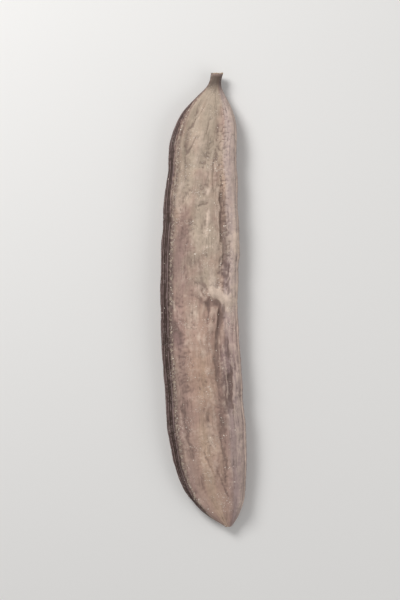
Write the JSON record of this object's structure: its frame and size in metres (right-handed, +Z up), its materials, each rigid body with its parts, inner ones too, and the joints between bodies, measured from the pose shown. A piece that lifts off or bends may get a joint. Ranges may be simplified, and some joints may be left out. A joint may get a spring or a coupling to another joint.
{
  "type": "carob pod",
  "caption": "Whole dried carob pod: a long flat bean with thick ridged seams, a furrow inside each rim, a stalk stub and a small beak.",
  "frame": {"origin": "centre of the pod's bounding box, on the surface it lies on", "axes": "+Y along the pod towards its stalk, +X towards the edge that the pod's bend leaves hollow, +Z up"},
  "size_m": [0.0344, 0.18, 0.0114],
  "materials": {
    "pod_skin": "dry, leathery and matt, brown with a pale dusty bloom"
  },
  "bodies": {
    "root": {"pod": "pod_skin"}
  },
  "joints": []
}
